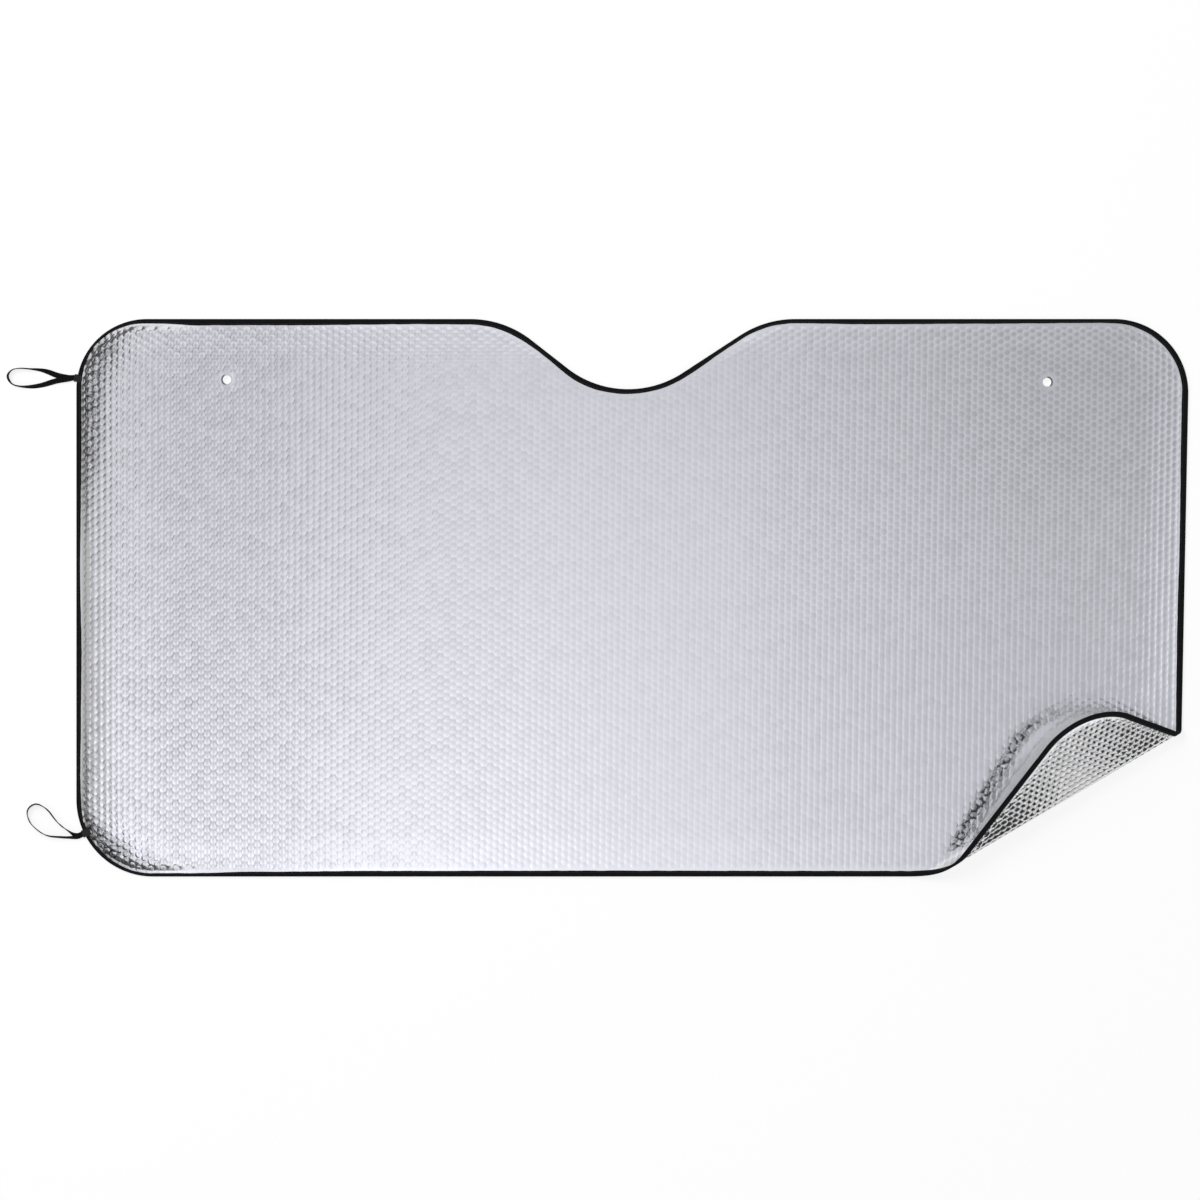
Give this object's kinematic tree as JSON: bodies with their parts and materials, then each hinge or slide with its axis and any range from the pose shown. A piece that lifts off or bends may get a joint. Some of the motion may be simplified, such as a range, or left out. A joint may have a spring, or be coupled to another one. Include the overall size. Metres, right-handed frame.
{
  "type": "car windscreen sunshade",
  "caption": "Folding sunshade of silver bubble foil for a car's windscreen, with a taped edge, a mirror notch, suction cup holes and elastic loops.",
  "frame": {"origin": "middle of the sheet half-way up it, on the back face that it lies on", "axes": "+X to the right along the long side, +Y up the sheet towards the mirror notch, +Z out of the front face"},
  "size_m": [1.3801, 0.651, 0.092],
  "materials": {
    "silver_foil": "metallised film over rows of small air bubbles, bright and slightly crinkled",
    "black_tape": "black woven binding tape, matt",
    "black_elastic": "black flat knitted elastic, matt"
  },
  "bodies": {
    "root": {"bubble_foil_panel": "silver_foil", "edge_binding": "black_tape", "upper_elastic_loop": "black_elastic", "lower_elastic_loop": "black_elastic"}
  },
  "joints": []
}
